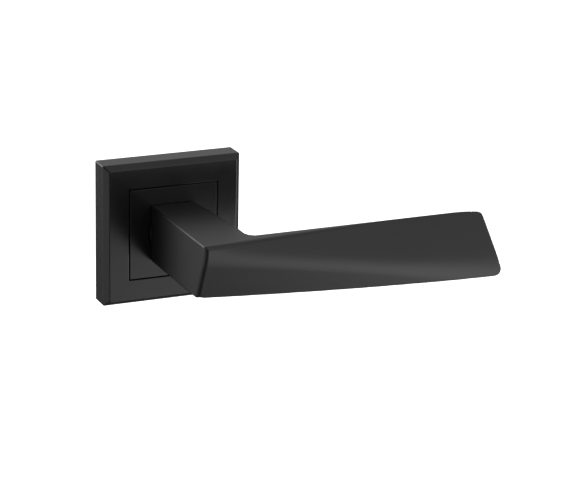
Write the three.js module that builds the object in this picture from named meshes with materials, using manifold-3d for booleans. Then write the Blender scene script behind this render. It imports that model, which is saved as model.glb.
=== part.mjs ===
// Door lever handle on a square rose, in millimetres.
// +X runs along the lever, +Z is up and the handle's front looks along -Y.
// The origin lies on the door face, on the spindle's axis. A "depth" is a distance out of the
// door face, so a point at depth d has y = -d, and what reaches into the door has a negative depth.

import * as THREE from "three";
import { mergeVertices } from "three/addons/utils/BufferGeometryUtils.js";
import Module from "manifold-3d";

const wasm = await Module();
wasm.setup();

// ---------------------------------------------------------------- driving dimensions

const FIT_GAP = 0.3; // between pieces that are pressed, screwed or clipped together
const SLIDE_GAP = 0.2; // between stacked pieces, along the spindle's axis

// Rose
const ROSE_HALF = 26; // the rose is a square of 52
const ROSE_DEPTH = 9.8; // door face to the rose's front
const ROSE_WALL_DEPTH = 7.75; // door face to the start of the chamfer
const CHAMFER_INSET = 1.85;
const COVER_WALL = 1.5;
const COVER_FRONT = 1.4; // thickness of the cover's front wall
const WINDOW_HALF = 16.9; // square window in the cover, which the insert fills
const INSERT_FLANGE_HALF = 18.6;
const INSERT_HOLE_RADIUS = 9.4; // the collar under the neck turns in it
const INSERT_COUNTERBORE_RADIUS = 11.4; // clears the bush's flange

// Base and what is screwed to it
const BACK_PLATE_THICKNESS = 0.8;
const BASE_BACK = BACK_PLATE_THICKNESS + SLIDE_GAP;
const WEB_BACK = 5.9;
const WEB_FRONT = 7.2;
const BASE_WALL = 2.3;
const BACK_PLATE_HOLE_RADIUS = 7; // clears the corners of the spindle
const CORNER_SCREW_OFFSET = 20;
const BOLT_OFFSET = 19; // bolt posts stand at 38 mm centres, above and below the spindle
const POST_RADIUS = 3.1;
const POST_HEAD_RADIUS = 4.1;
const POST_REACH = 13; // how far a post reaches into the door
const BOLT_THREAD_RADIUS = 1.65; // core of an M4 thread

// Turning parts
const SPIGOT_RADIUS = 8.4;
const SPIGOT_FLAT = 7.5; // half width across the two flats that key the driver
const SPIGOT_BACK = 1.9;
const COLLAR_RADIUS = 9.1; // the lever's shoulder, which rests on the bush
const COLLAR_BACK = 8.5;
const BUSH_TUBE_RADIUS = 10.3;
const BUSH_FLANGE_RADIUS = 11;
const WASHER_RADIUS = 11.8;
const DRIVER_BACK = 4.8;
const DRIVER_FRONT = 5.7;
const DRIVER_RADIUS = 12;
const DRIVER_ARM_HALF = 2.2;
const DRIVER_REACH = 16.9;
const DRIVER_TAB_INNER = 15;
const DRIVER_TAB_BACK = 2.4; // the tabs bend back between the stops
const CIRCLIP_BACK = 3;
const CIRCLIP_FRONT = 3.9;
const CIRCLIP_GROOVE_RADIUS = 7.7;
const CIRCLIP_RADIUS = 10.5;
const CIRCLIP_EYE = { distance: 10.1, radius: 1.45, hole: 0.6 };
const CIRCLIP_ENDS = [-64, 244]; // degrees from +X towards +Z, so that it is open at the bottom
const SPINDLE_HALF = 3.95; // an 8 mm square bar
const SPINDLE_REACH = 45; // how far the spindle stands out behind the door face
const SOCKET_DEPTH = 31;
const GRUB_SCREW_DEPTH = 20;
const GRUB_SCREW_RADIUS = 2.7;
const GRUB_HEX = { radius: 1.6, depth: 2.6 };

// Neck and grip
const NECK_BACK = ROSE_DEPTH + FIT_GAP; // the bar starts just in front of the rose
const NECK_LEFT = -8.6;
const NECK_RIGHT = 10.2;
const NECK_HALF_HEIGHT = 10.45;
const NECK_CORNER = 1.2;
const NECK_FILLET = 4; // concave radius between the neck and the back of the grip
const GRIP_TOP = NECK_HALF_HEIGHT;
const GRIP_BACK_TOP = 54.4; // depth of the grip's back at its top edge
const GRIP_BACK_BOTTOM = 53; // depth of the grip's back at its bottom edge
const GRIP_CORNER_DEPTH = 61.3; // depth of the front top corner beside the neck
const GRIP_EDGE = 0.6; // thickness left at the top edge where the upper facet has eaten it away
const UPPER_FACET_RUN = 72; // the upper facet reaches the back of the grip after this length
const RIDGE_DEPTH = 61.9;
const RIDGE_START_Z = 7.8;
const RIDGE_SLOPE = -0.167;
const RIDGE_SOFTNESS = 4.5; // how far the rounding of the ridge reaches up and down
const BOTTOM_START_Z = -10.3;
const BOTTOM_DROP = 2.9;
const BOTTOM_START_DEPTH = 53.5;
const BOTTOM_END_DEPTH = 61.4;
const TIP_TOP_X = 99.6; // where the slanted tip would meet the top edge
const TIP_BOTTOM_X = 106.5;
const TIP_TOP_RUN = 8; // the tip's upper corner starts this far back along the top edge
const TIP_TOP_ROUNDING = 2.6; // and ends this far down the slanted end
const TIP_BOTTOM_RADIUS = 3.2;

// Return spring
const SPRING_RADIUS = 13.2;
const WIRE_RADIUS = 0.55;
const SPRING_BACK = 1.75;
const SPRING_FRONT = 3.95;
const SPRING_LEG_REACH = 17.2;
const FIXED_LEG_ANGLE = 206; // degrees from +X towards +Z
const MOVING_LEG_ANGLE = -372;

// Stops that meet the driver's tabs, at rest and at the end of the lever's travel
const STOP_INNER = 14.6;
const STOP_OUTER = 17.6;
const REST_STOP = [9.6, 20];
const TRAVEL_STOP = [-66, -54.6];

const LARGE_CIRCLE = 48;
const SMALL_CIRCLE = 20;

// ---------------------------------------------------------------- materials

const material = (color, roughness, metalness) =>
  new THREE.MeshStandardMaterial({ color, roughness, metalness });

const matteBlack = () => material(0x1c1d1f, 0.55, 0.3);
const zincCasting = () => material(0x9a9da1, 0.5, 0.8);
const platedSteel = () => material(0xb4b7bb, 0.35, 0.9);
const springSteel = () => material(0x6f7377, 0.3, 0.95);
const blackenedSteel = () => material(0x2a2b2d, 0.4, 0.8);
const nylon = () => material(0x26272a, 0.6, 0);

// ---------------------------------------------------------------- solids

// Turns a closed geometry into a solid: shared corners merged, flat triangles dropped, faces out.
function toSolid(geometry) {
  const bare = geometry.clone();
  bare.deleteAttribute("normal");
  bare.deleteAttribute("uv");
  const merged = mergeVertices(bare, 1e-4);
  const position = merged.getAttribute("position");
  const triangles = [];
  const a = new THREE.Vector3();
  const b = new THREE.Vector3();
  const c = new THREE.Vector3();
  let volume = 0;
  for (let i = 0; i < merged.index.count; i += 3) {
    const corners = [0, 1, 2].map((k) => merged.index.getX(i + k));
    if (new Set(corners).size === 3) {
      a.fromBufferAttribute(position, corners[0]);
      b.fromBufferAttribute(position, corners[1]);
      c.fromBufferAttribute(position, corners[2]);
      volume += a.dot(b.cross(c));
      triangles.push(corners);
    }
  }
  if (volume < 0) {
    triangles.forEach((corners) => corners.reverse());
  }
  const vertProperties = Float32Array.from(position.array);
  const triVerts = Uint32Array.from(triangles.flat());
  return new wasm.Manifold(new wasm.Mesh({ numProp: 3, vertProperties, triVerts }));
}

function toGeometry(solid) {
  const mesh = solid.getMesh();
  const geometry = new THREE.BufferGeometry();
  geometry.setAttribute("position", new THREE.BufferAttribute(mesh.vertProperties, 3));
  geometry.setIndex(new THREE.BufferAttribute(mesh.triVerts, 1));
  geometry.computeVertexNormals();
  return geometry;
}

const join = (first, ...others) => others.reduce((whole, other) => whole.add(other), first);
const cut = (first, ...tools) => tools.reduce((rest, tool) => rest.subtract(tool), first);

function named(name, solid, finish) {
  const mesh = new THREE.Mesh(toGeometry(solid), finish);
  mesh.name = name;
  return mesh;
}

// ---------------------------------------------------------------- shapes

function rectangle(halfX, halfZ) {
  const shape = new THREE.Shape();
  shape.moveTo(-halfX, -halfZ);
  shape.lineTo(halfX, -halfZ);
  shape.lineTo(halfX, halfZ);
  shape.lineTo(-halfX, halfZ);
  shape.closePath();
  return shape;
}

function circle(radius, x = 0, z = 0) {
  const shape = new THREE.Shape();
  shape.absarc(x, z, radius, 0, 2 * Math.PI, false);
  return shape;
}

// A sector of a ring, between two angles in degrees from +X towards +Z.
function ringSector(inner, outer, from, to) {
  const start = THREE.MathUtils.degToRad(from);
  const end = THREE.MathUtils.degToRad(to);
  const shape = new THREE.Shape();
  shape.absarc(0, 0, outer, start, end, false);
  shape.absarc(0, 0, inner, end, start, true);
  shape.closePath();
  return shape;
}

// A flat plate: an outline in X and Z, between two depths.
function plate(shape, back, front, segments = LARGE_CIRCLE) {
  const settings = { depth: front - back, bevelEnabled: false, curveSegments: segments / 2 };
  const geometry = new THREE.ExtrudeGeometry(shape, settings);
  geometry.translate(0, 0, back);
  geometry.rotateX(Math.PI / 2);
  return toSolid(geometry);
}

// A turned piece about an axis square to the door: the profile lists [radius, depth] pairs.
function turned(profile, x = 0, z = 0, segments = LARGE_CIRCLE) {
  const points = profile.map(([radius, depth]) => new THREE.Vector2(radius, depth));
  const geometry = new THREE.LatheGeometry(points, segments);
  geometry.rotateX(Math.PI);
  geometry.translate(x, 0, z);
  return toSolid(geometry);
}

// A skin over rings of equally many points, closed by a fan at each end. Each ring is convex.
function loft(rings) {
  const count = rings[0].length;
  const index = [];
  for (let ring = 0; ring + 1 < rings.length; ring += 1) {
    for (let i = 0; i < count; i += 1) {
      const a = ring * count + i;
      const b = ring * count + ((i + 1) % count);
      index.push(a, b, a + count, b, b + count, a + count);
    }
  }
  const last = (rings.length - 1) * count;
  for (let i = 1; i + 1 < count; i += 1) {
    index.push(0, i + 1, i);
    index.push(last, last + i, last + i + 1);
  }
  const geometry = new THREE.BufferGeometry().setFromPoints(rings.flat());
  geometry.setIndex(index);
  return toSolid(geometry);
}

// A ring of points at one depth: a box of the given limits with rounded corners.
function roundedRing({ left, right, bottom, top, radius }, depthAt) {
  const corners = [
    [right - radius, top - radius, 0],
    [left + radius, top - radius, 90],
    [left + radius, bottom + radius, 180],
    [right - radius, bottom + radius, 270],
  ];
  const steps = 6;
  const ring = [];
  for (const [x, z, startAngle] of corners) {
    for (let i = 0; i <= steps; i += 1) {
      const angle = THREE.MathUtils.degToRad(startAngle + (90 * i) / steps);
      const pointZ = z + radius * Math.sin(angle);
      ring.push(new THREE.Vector3(x + radius * Math.cos(angle), -depthAt(pointZ), pointZ));
    }
  }
  return ring;
}

// ---------------------------------------------------------------- rose

function roseCover() {
  const level = (half, depth) =>
    roundedRing({ left: -half, right: half, bottom: -half, top: half, radius: 0.5 }, () => depth);
  const outside = loft([
    level(ROSE_HALF, 0),
    level(ROSE_HALF, ROSE_WALL_DEPTH),
    level(ROSE_HALF - CHAMFER_INSET, ROSE_DEPTH),
  ]);
  const innerHalf = ROSE_HALF - COVER_WALL;
  const cavity = plate(rectangle(innerHalf, innerHalf), -1, ROSE_DEPTH - COVER_FRONT);
  const window = plate(rectangle(WINDOW_HALF, WINDOW_HALF), 0, ROSE_DEPTH + 1);
  return named("rose_cover", cut(outside, cavity, window), matteBlack());
}

function roseInsert() {
  const faceHalf = WINDOW_HALF - FIT_GAP;
  const flangeBack = WEB_FRONT + SLIDE_GAP;
  const flangeFront = ROSE_DEPTH - COVER_FRONT - SLIDE_GAP;
  const face = plate(rectangle(faceHalf, faceHalf), flangeFront - 0.1, ROSE_DEPTH);
  const flange = plate(rectangle(INSERT_FLANGE_HALF, INSERT_FLANGE_HALF), flangeBack, flangeFront);
  const hole = plate(circle(INSERT_HOLE_RADIUS), 0, ROSE_DEPTH + 1);
  const counterbore = plate(circle(INSERT_COUNTERBORE_RADIUS), 0, COLLAR_BACK + 0.1);
  return named("rose_insert", cut(join(face, flange), hole, counterbore), matteBlack());
}

const BASE_HALF = ROSE_HALF - COVER_WALL - FIT_GAP;
const CLIP_POCKET = { halfLength: 6.2, depth: 1.4, back: 2.5, front: 6 };

// The four corners, or the four sides, of the rose.
const QUARTERS = [0, 1, 2, 3];
const CORNERS = [
  [1, 1],
  [-1, 1],
  [-1, -1],
  [1, -1],
].map(([x, z]) => [x * CORNER_SCREW_OFFSET, z * CORNER_SCREW_OFFSET]);
const BOLT_SIDES = [
  ["upper", BOLT_OFFSET],
  ["lower", -BOLT_OFFSET],
];

// A quarter-turn copy of a solid about the spindle's axis.
const quarterTurned = (solid, quarter) => solid.rotate([0, 90 * quarter, 0]);

function basePlate() {
  const innerHalf = BASE_HALF - BASE_WALL;
  const block = plate(rectangle(BASE_HALF, BASE_HALF), BASE_BACK, WEB_FRONT);
  const hollow = plate(rectangle(innerHalf, innerHalf), 0, WEB_BACK);
  let base = cut(block, hollow);

  const cornerBossRadius = 3;
  for (const [x, z] of CORNERS) {
    const boss = plate(circle(cornerBossRadius, x, z), BASE_BACK, WEB_BACK + 0.5, SMALL_CIRCLE);
    base = join(base, boss);
  }
  const boltBossRadius = 4.9;
  for (const [, z] of BOLT_SIDES) {
    base = join(base, plate(circle(boltBossRadius, 0, z), BASE_BACK, WEB_BACK + 0.5, SMALL_CIRCLE));
  }
  const stopBack = 1.4;
  for (const [from, to] of [REST_STOP, TRAVEL_STOP]) {
    for (const half of [0, 180]) {
      const sector = ringSector(STOP_INNER, STOP_OUTER, from + half, to + half);
      base = join(base, plate(sector, stopBack, WEB_BACK + 0.5, 4));
    }
  }

  const bushBore = plate(circle(BUSH_TUBE_RADIUS + FIT_GAP), 0, ROSE_DEPTH);
  base = cut(base, bushBore);
  const screwPilotRadius = 1.55;
  for (const [x, z] of CORNERS) {
    base = cut(base, plate(circle(screwPilotRadius, x, z), 0, WEB_BACK - 0.4, SMALL_CIRCLE));
  }
  const headBack = WEB_FRONT - 1.1;
  for (const [, z] of BOLT_SIDES) {
    const bore = plate(circle(POST_RADIUS + FIT_GAP, 0, z), 0, ROSE_DEPTH, SMALL_CIRCLE);
    const recess = plate(circle(POST_HEAD_RADIUS + FIT_GAP, 0, z), headBack, ROSE_DEPTH, SMALL_CIRCLE);
    base = cut(base, bore, recess);
  }
  const pocketFloor = BASE_HALF - CLIP_POCKET.depth;
  const pocketShape = rectangle(CLIP_POCKET.halfLength, CLIP_POCKET.depth);
  for (const quarter of QUARTERS) {
    const pocket = plate(pocketShape, CLIP_POCKET.back, CLIP_POCKET.front);
    const placed = pocket.translate([0, 0, pocketFloor + CLIP_POCKET.depth]);
    base = cut(base, quarterTurned(placed, quarter));
  }
  return named("base_plate", base, zincCasting());
}

// Bowed leaf springs in the base's side pockets, which grip the inside of the cover.
function coverClips() {
  const leafHalf = CLIP_POCKET.halfLength - FIT_GAP;
  const floor = BASE_HALF - CLIP_POCKET.depth + 0.25;
  const crown = ROSE_HALF - COVER_WALL - 0.15;
  const thickness = 0.45;
  const leaf = new THREE.Shape();
  leaf.moveTo(-leafHalf, floor);
  leaf.quadraticCurveTo(0, 2 * (crown - thickness) - floor, leafHalf, floor);
  leaf.lineTo(leafHalf, floor + thickness);
  leaf.quadraticCurveTo(0, 2 * crown - (floor + thickness), -leafHalf, floor + thickness);
  leaf.closePath();
  const names = ["top", "right", "bottom", "left"];
  return QUARTERS.map((quarter) => {
    const clip = plate(leaf, CLIP_POCKET.back + FIT_GAP, CLIP_POCKET.front - FIT_GAP, 10);
    return named(`cover_clip_${names[quarter]}`, quarterTurned(clip, quarter), springSteel());
  });
}

const SCREW_HEAD_RADIUS = 2.1;
const SCREW_SHANK_RADIUS = 1.25;

function backPlate() {
  const half = BASE_HALF - 0.1;
  let sheet = plate(rectangle(half, half), 0, BACK_PLATE_THICKNESS);
  sheet = cut(sheet, plate(circle(BACK_PLATE_HOLE_RADIUS), -1, 2));
  for (const [, z] of BOLT_SIDES) {
    sheet = cut(sheet, plate(circle(POST_RADIUS + FIT_GAP, 0, z), -1, 2, SMALL_CIRCLE));
  }
  for (const [x, z] of CORNERS) {
    const countersink = [
      [0, -0.1],
      [SCREW_HEAD_RADIUS + 0.42, -0.1],
      [SCREW_SHANK_RADIUS + FIT_GAP, BACK_PLATE_THICKNESS + 0.1],
      [0, BACK_PLATE_THICKNESS + 0.1],
    ];
    sheet = cut(sheet, turned(countersink, x, z, SMALL_CIRCLE));
  }
  return named("back_plate", sheet, platedSteel());
}

// Countersunk screws that hold the back plate on the base, each with a cross slot.
function backPlateScrews() {
  const headBack = 0.1;
  const headFront = 0.9;
  const slot = { halfLength: 1.3, halfWidth: 0.25, front: 0.55 };
  const names = ["upper_right", "upper_left", "lower_left", "lower_right"];
  return CORNERS.map(([x, z], i) => {
    const profile = [
      [0, headBack],
      [SCREW_HEAD_RADIUS, headBack],
      [SCREW_SHANK_RADIUS, headFront],
      [SCREW_SHANK_RADIUS, WEB_BACK - 0.8],
      [0, WEB_BACK - 0.8],
    ];
    const across = plate(rectangle(slot.halfLength, slot.halfWidth), -1, slot.front);
    const upright = plate(rectangle(slot.halfWidth, slot.halfLength), -1, slot.front);
    const cross = join(across, upright).translate([x, 0, z]);
    const screw = cut(turned(profile, x, z, SMALL_CIRCLE), cross);
    return named(`back_plate_screw_${names[i]}`, screw, platedSteel());
  });
}

// Threaded posts for the bolts that come through the door from its other side.
function boltPosts() {
  const headFront = WEB_FRONT - 0.1;
  const headBack = WEB_FRONT - 0.9;
  const threadEnd = 4;
  return BOLT_SIDES.map(([side, z]) => {
    const profile = [
      [BOLT_THREAD_RADIUS, -POST_REACH],
      [POST_RADIUS - 0.4, -POST_REACH],
      [POST_RADIUS, -POST_REACH + 0.4],
      [POST_RADIUS, headBack],
      [POST_HEAD_RADIUS, headBack],
      [POST_HEAD_RADIUS, headFront],
      [0, headFront],
      [0, threadEnd],
      [BOLT_THREAD_RADIUS, threadEnd],
      [BOLT_THREAD_RADIUS, -POST_REACH],
    ];
    return named(`bolt_post_${side}`, turned(profile, 0, z, SMALL_CIRCLE), platedSteel());
  });
}

function bearingBush() {
  const boreRadius = SPIGOT_RADIUS + FIT_GAP;
  const flangeBack = WEB_FRONT + SLIDE_GAP;
  const flangeFront = COLLAR_BACK - SLIDE_GAP;
  const profile = [
    [boreRadius, WEB_BACK],
    [BUSH_TUBE_RADIUS, WEB_BACK],
    [BUSH_TUBE_RADIUS, flangeBack],
    [BUSH_FLANGE_RADIUS, flangeBack],
    [BUSH_FLANGE_RADIUS, flangeFront],
    [boreRadius, flangeFront],
    [boreRadius, WEB_BACK],
  ];
  return named("bearing_bush", turned(profile), nylon());
}

// ---------------------------------------------------------------- lever

// How far along the grip a section lies: 0 beside the neck and 1 at the tip.
const gripShare = (x) => (x - NECK_LEFT) / (TIP_BOTTOM_X - NECK_LEFT);

const bottomZ = (x) => BOTTOM_START_Z - BOTTOM_DROP * (1 - (1 - gripShare(x)) ** 2);

const backDepth = (z) =>
  THREE.MathUtils.mapLinear(z, GRIP_TOP, BOTTOM_START_Z, GRIP_BACK_TOP, GRIP_BACK_BOTTOM);

// One upright section of the grip: a flat back, an upper and a lower facet and a soft ridge
// between them. Near the neck the lower facet is the large one, and at the tip the upper one.
function gripSection(x) {
  const strip = Math.max(0, 1 - (x - NECK_LEFT) / UPPER_FACET_RUN) ** 1.15;
  const edgeDepth = GRIP_BACK_TOP + GRIP_EDGE;
  const topDepth = edgeDepth + (GRIP_CORNER_DEPTH - edgeDepth) * strip;
  const low = bottomZ(x);
  const lowDepth = THREE.MathUtils.lerp(BOTTOM_START_DEPTH, BOTTOM_END_DEPTH, gripShare(x));
  const top = new THREE.Vector2(topDepth, GRIP_TOP);
  const ridge = new THREE.Vector2(RIDGE_DEPTH, RIDGE_START_Z + RIDGE_SLOPE * (x - NECK_LEFT));
  const bottom = new THREE.Vector2(lowDepth, low);
  const softness = (end) => Math.min(RIDGE_SOFTNESS / ridge.distanceTo(end), 0.75);
  const upperEnd = ridge.clone().lerp(top, softness(top));
  const lowerEnd = ridge.clone().lerp(bottom, softness(bottom));
  const soft = new THREE.QuadraticBezierCurve(upperEnd, ridge, lowerEnd).getPoints(5);
  const backTop = new THREE.Vector2(GRIP_BACK_TOP, GRIP_TOP);
  const backBottom = new THREE.Vector2(backDepth(low), low);
  return [backTop, top, ...soft, bottom, backBottom].map(
    (point) => new THREE.Vector3(x, -point.x, point.y),
  );
}

// The grip's outline from the front, which rounds the tip's corners.
function gripOutline() {
  const slant = new THREE.Vector2(TIP_BOTTOM_X - TIP_TOP_X, bottomZ(TIP_BOTTOM_X) - GRIP_TOP);
  slant.normalize();
  const tipTop = new THREE.Vector2(TIP_TOP_X, GRIP_TOP);
  const tipBottom = new THREE.Vector2(TIP_BOTTOM_X, bottomZ(TIP_BOTTOM_X));
  const margin = 2;
  const shape = new THREE.Shape();
  shape.moveTo(NECK_LEFT - margin, GRIP_TOP + 0.5);
  shape.lineTo(tipTop.x - TIP_TOP_RUN, GRIP_TOP + 0.01);
  const topEnd = tipTop.clone().addScaledVector(slant, TIP_TOP_ROUNDING);
  shape.quadraticCurveTo(tipTop.x, tipTop.y, topEnd.x, topEnd.y);
  const lowStart = tipBottom.clone().addScaledVector(slant, -TIP_BOTTOM_RADIUS);
  shape.lineTo(lowStart.x, lowStart.y);
  const lowEnd = tipBottom.x - TIP_BOTTOM_RADIUS;
  shape.quadraticCurveTo(tipBottom.x, tipBottom.y, lowEnd, bottomZ(lowEnd));
  shape.lineTo(lowEnd, bottomZ(lowEnd) - margin);
  shape.lineTo(NECK_LEFT - margin, BOTTOM_START_Z - margin);
  shape.closePath();
  return shape;
}

function grip() {
  const sections = 22;
  const rings = [];
  for (let i = 0; i <= sections; i += 1) {
    const x = THREE.MathUtils.lerp(NECK_LEFT, TIP_BOTTOM_X, i / sections);
    rings.push(gripSection(x));
  }
  return loft(rings).intersect(plate(gripOutline(), GRIP_BACK_BOTTOM - 5, RIDGE_DEPTH + 5, 8));
}

// The neck: a bar with rounded corners, then a fillet into the back of the grip.
function neck() {
  const bar = {
    left: NECK_LEFT,
    right: NECK_RIGHT,
    bottom: -NECK_HALF_HEIGHT,
    top: NECK_HALF_HEIGHT,
    radius: NECK_CORNER,
  };
  const rings = [roundedRing(bar, () => NECK_BACK)];
  const filletSteps = 5;
  const embed = 0.3;
  for (let i = 0; i <= filletSteps; i += 1) {
    const angle = ((Math.PI / 2) * i) / filletSteps;
    const limits = { ...bar, right: NECK_RIGHT + NECK_FILLET * (1 - Math.cos(angle)) };
    const rise = NECK_FILLET * (1 - Math.sin(angle)) - embed * (i / filletSteps);
    rings.push(roundedRing(limits, (z) => backDepth(z) - rise));
  }
  return loft(rings);
}

function spigot() {
  const collar = plate(circle(COLLAR_RADIUS), COLLAR_BACK, NECK_BACK + 0.1);
  const cylinder = plate(circle(SPIGOT_RADIUS), SPIGOT_BACK, COLLAR_BACK + 0.5);
  const flatKeep = rectangle(SPIGOT_FLAT, SPIGOT_RADIUS + 1);
  const keyed = plate(flatKeep, SPIGOT_BACK - 1, WEB_BACK);
  const round = plate(circle(SPIGOT_RADIUS + 1), WEB_BACK, COLLAR_BACK + 1);
  const shaped = cylinder.intersect(join(keyed, round));
  const grooveBack = CIRCLIP_BACK - 0.15;
  const grooveFront = CIRCLIP_FRONT + 0.15;
  const groove = turned([
    [CIRCLIP_GROOVE_RADIUS, grooveBack],
    [SPIGOT_RADIUS + 1, grooveBack],
    [SPIGOT_RADIUS + 1, grooveFront],
    [CIRCLIP_GROOVE_RADIUS, grooveFront],
    [CIRCLIP_GROOVE_RADIUS, grooveBack],
  ]);
  return join(cut(shaped, groove), collar);
}

// A cylinder pointing up along Z between two heights, at the grub screw's depth.
function uprightCylinder(radius, low, high, segments) {
  const geometry = new THREE.CylinderGeometry(radius, radius, high - low, segments);
  geometry.rotateX(Math.PI / 2);
  geometry.translate(0, -GRUB_SCREW_DEPTH, (low + high) / 2);
  return toSolid(geometry);
}

function lever() {
  const casting = join(neck(), grip(), spigot());
  const socketHalf = SPINDLE_HALF + FIT_GAP;
  const socket = plate(rectangle(socketHalf, socketHalf), 0, SOCKET_DEPTH);
  const grubHole = uprightCylinder(GRUB_SCREW_RADIUS + FIT_GAP, -20, 0, SMALL_CIRCLE);
  return named("lever", cut(casting, socket, grubHole), matteBlack());
}

function spindle() {
  const bar = plate(rectangle(SPINDLE_HALF, SPINDLE_HALF), -SPINDLE_REACH, SOCKET_DEPTH - FIT_GAP);
  return named("spindle", bar, platedSteel());
}

function grubScrew() {
  const screwBottom = -NECK_HALF_HEIGHT + 0.6;
  const screwTop = -SPINDLE_HALF - FIT_GAP;
  const body = uprightCylinder(GRUB_SCREW_RADIUS, screwBottom, screwTop, SMALL_CIRCLE);
  const hexTop = screwBottom + GRUB_HEX.depth;
  const hexSocket = uprightCylinder(GRUB_HEX.radius, screwBottom - 1, hexTop, 6);
  return named("grub_screw", cut(body, hexSocket), blackenedSteel());
}

// The plate keyed to the spigot: its tabs meet the stops and push the spring.
function driverPlate() {
  const arms = rectangle(DRIVER_REACH, DRIVER_ARM_HALF);
  const disc = circle(DRIVER_RADIUS);
  const tabHalf = (DRIVER_REACH - DRIVER_TAB_INNER) / 2;
  const tabMiddle = DRIVER_TAB_INNER + tabHalf;
  const tab = plate(rectangle(tabHalf, DRIVER_ARM_HALF), DRIVER_TAB_BACK, DRIVER_BACK + 0.1);
  const body = join(
    plate(disc, DRIVER_BACK, DRIVER_FRONT),
    plate(arms, DRIVER_BACK, DRIVER_FRONT),
    tab.translate([tabMiddle, 0, 0]),
    tab.translate([-tabMiddle, 0, 0]),
  );
  const clearance = 0.25;
  const holeRound = plate(circle(SPIGOT_RADIUS + clearance), 0, ROSE_DEPTH);
  const holeFlats = rectangle(SPIGOT_FLAT + clearance, SPIGOT_RADIUS + 1);
  const hole = holeRound.intersect(plate(holeFlats, 0, ROSE_DEPTH));
  return named("driver_plate", cut(body, hole), platedSteel());
}

function thrustWasher() {
  const back = CIRCLIP_FRONT + SLIDE_GAP;
  const front = DRIVER_BACK - SLIDE_GAP;
  const inner = SPIGOT_RADIUS + FIT_GAP;
  const profile = [
    [inner, back],
    [WASHER_RADIUS, back],
    [WASHER_RADIUS, front],
    [inner, front],
    [inner, back],
  ];
  return named("thrust_washer", turned(profile), platedSteel());
}

// A retaining ring open at the bottom, with an eye for the pliers at each end.
function circlip() {
  const inner = CIRCLIP_GROOVE_RADIUS + FIT_GAP;
  const ends = [CIRCLIP_ENDS[0] - 1, CIRCLIP_ENDS[1] + 1];
  let clip = plate(ringSector(inner, CIRCLIP_RADIUS, ...ends), CIRCLIP_BACK, CIRCLIP_FRONT);
  for (const degrees of CIRCLIP_ENDS) {
    const angle = THREE.MathUtils.degToRad(degrees);
    const x = CIRCLIP_EYE.distance * Math.cos(angle);
    const z = CIRCLIP_EYE.distance * Math.sin(angle);
    const eye = plate(circle(CIRCLIP_EYE.radius, x, z), CIRCLIP_BACK, CIRCLIP_FRONT, SMALL_CIRCLE);
    const eyeHole = plate(circle(CIRCLIP_EYE.hole, x, z), 0, ROSE_DEPTH, 10);
    clip = cut(join(clip, eye), eyeHole);
  }
  return named("circlip", clip, springSteel());
}

// A torsion spring about the spigot. One leg bears on a stop of the base, the other on a tab.
function returnSpring() {
  const at = (radius, degrees, depth) => {
    const angle = THREE.MathUtils.degToRad(degrees);
    return new THREE.Vector3(radius * Math.cos(angle), -depth, radius * Math.sin(angle));
  };
  const bend = 7; // degrees of turn taken by each bend between a leg and the coil
  const points = [at(SPRING_LEG_REACH, FIXED_LEG_ANGLE, SPRING_BACK)];
  points.push(at(SPRING_RADIUS + 1.6, FIXED_LEG_ANGLE, SPRING_BACK));
  const coilStart = FIXED_LEG_ANGLE - bend;
  const coilEnd = MOVING_LEG_ANGLE + bend;
  const steps = 32;
  for (let i = 0; i <= steps; i += 1) {
    const degrees = THREE.MathUtils.lerp(coilStart, coilEnd, i / steps);
    points.push(at(SPRING_RADIUS, degrees, THREE.MathUtils.lerp(SPRING_BACK, SPRING_FRONT, i / steps)));
  }
  points.push(at(SPRING_RADIUS + 1.6, MOVING_LEG_ANGLE, SPRING_FRONT));
  points.push(at(SPRING_LEG_REACH, MOVING_LEG_ANGLE, SPRING_FRONT));
  const extrudePath = new THREE.CatmullRomCurve3(points, false, "centripetal");
  const section = circle(WIRE_RADIUS);
  const settings = { extrudePath, steps: 100, curveSegments: 4, bevelEnabled: false };
  const wire = toSolid(new THREE.ExtrudeGeometry(section, settings));
  return named("return_spring", wire, springSteel());
}

// ---------------------------------------------------------------- assembly

const rose = new THREE.Group();
rose.add(roseCover(), roseInsert(), basePlate(), backPlate(), bearingBush());
rose.add(...coverClips(), ...backPlateScrews(), ...boltPosts());

const turning = new THREE.Group();
turning.add(lever(), spindle(), grubScrew(), driverPlate(), thrustWasher(), circlip());

const handle = new THREE.Group();
handle.add(rose, turning, returnSpring());

export default handle;
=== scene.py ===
"""Looks of the door lever handle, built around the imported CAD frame. Metres, +Z up, front along -Y."""

import math

import bmesh
import bpy
import numpy as np
from mathutils import Matrix, Vector


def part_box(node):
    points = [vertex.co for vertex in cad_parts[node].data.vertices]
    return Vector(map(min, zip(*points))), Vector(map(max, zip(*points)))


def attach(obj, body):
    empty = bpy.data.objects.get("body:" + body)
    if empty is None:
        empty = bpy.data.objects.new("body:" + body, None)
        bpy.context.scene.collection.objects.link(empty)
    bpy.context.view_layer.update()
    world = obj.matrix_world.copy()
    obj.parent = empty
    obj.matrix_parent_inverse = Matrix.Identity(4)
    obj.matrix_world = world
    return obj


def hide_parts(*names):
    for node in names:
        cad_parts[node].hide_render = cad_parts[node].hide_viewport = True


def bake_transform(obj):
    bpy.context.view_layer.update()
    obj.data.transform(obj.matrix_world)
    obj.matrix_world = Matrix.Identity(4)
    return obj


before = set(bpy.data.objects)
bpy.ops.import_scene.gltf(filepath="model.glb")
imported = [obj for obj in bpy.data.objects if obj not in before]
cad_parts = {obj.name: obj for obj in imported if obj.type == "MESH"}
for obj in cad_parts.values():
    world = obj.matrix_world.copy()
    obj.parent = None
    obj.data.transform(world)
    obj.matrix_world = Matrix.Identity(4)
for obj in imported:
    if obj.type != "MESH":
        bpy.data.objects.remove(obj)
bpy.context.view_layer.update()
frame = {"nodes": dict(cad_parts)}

MM = 0.001
TURN = 2 * math.pi

# ---------------------------------------------------------------- sizes, from the frame


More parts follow.
